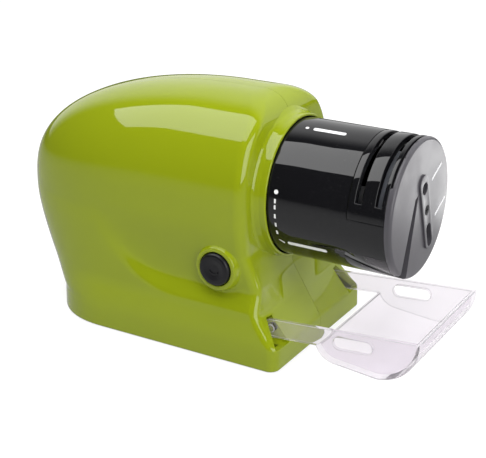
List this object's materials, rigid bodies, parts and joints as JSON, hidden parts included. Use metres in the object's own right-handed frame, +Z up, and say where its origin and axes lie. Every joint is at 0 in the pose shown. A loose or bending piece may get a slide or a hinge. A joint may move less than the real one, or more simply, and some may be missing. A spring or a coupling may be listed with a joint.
{
  "type": "electric scissors sharpener",
  "caption": "Battery bench sharpener: rounded housing with a push button, a turnable slotted head around a grinding wheel, and a clear swarf tray that tilts.",
  "frame": {"origin": "on the floor, under the middle of the overall length and width", "axes": "+X along the head axis towards the sharpening head, +Y away from the push button, +Z up"},
  "size_m": [0.2034, 0.081, 0.1082],
  "materials": {
    "housing_green": "glossy lime green",
    "head_black": "glossy black",
    "button_plastic": "dark blue grey, satin",
    "tray_clear": "clear with a faint lilac tint",
    "rubber_grey": "matt",
    "dark_plastic": "matt black",
    "grey_plastic": "matt grey",
    "steel": "bright",
    "head_screw": "blackened",
    "brass": "bright",
    "abrasive": "rough grit",
    "cell_wrap": "glossy wrap",
    "wire_red": "soft sleeve"
  },
  "bodies": {
    "housing": {"right_housing": "housing_green", "left_housing": "housing_green", "housing_screws": "steel", "rubber_feet": "rubber_grey", "battery_holder": "dark_plastic", "battery_cells": "cell_wrap", "contact_springs": "steel", "contact_plates": "steel", "button_spring": "steel", "switch_body": "dark_plastic", "switch_bracket": "grey_plastic", "bracket_screws": "steel", "motor_cup": "grey_plastic", "motor_can": "steel", "motor_end_bell": "dark_plastic", "motor_terminals": "brass", "motor_screws": "steel", "wire_leads": "wire_red"},
    "wheel": {"motor_shaft": "steel", "wheel_arbor": "grey_plastic", "grinding_wheel": "abrasive", "wheel_washer": "steel", "wheel_nut": "steel"},
    "head": {"head_drum": "head_black", "knife_guide": "head_black", "head_end_cap": "head_black", "driver_plate": "head_black", "plate_screw": "head_screw"},
    "button": {"push_button": "button_plastic"},
    "tray": {"swarf_tray": "tray_clear"},
    "door": {"battery_door": "housing_green"}
  },
  "joints": [
    {"name": "wheel_spin", "type": "hinge", "parent": "housing", "child": "wheel", "pos_m": [0.03235, 0, 0.0685], "axis": [1, 0, 0], "continuous": true},
    {"name": "head_select", "type": "hinge", "parent": "housing", "child": "head", "pos_m": [0.03235, 0, 0.0685], "axis": [-1, 0, 0], "range_deg": [0, 62]},
    {"name": "button_press", "type": "slide", "parent": "housing", "child": "button", "axis": [0, 1, 0], "range_m": [0, 0.002], "stiffness_N_per_m": 400, "springref_m": -0.003, "deforming": ["button_spring"]},
    {"name": "tray_tilt", "type": "hinge", "parent": "housing", "child": "tray", "pos_m": [0.03555, 0, 0.0155], "axis": [0, -1, 0], "range_deg": [-4, 28]},
    {"name": "door_drop", "type": "slide", "parent": "housing", "child": "door", "axis": [0, 0, -1], "range_m": [0, 0.022]}
  ]
}
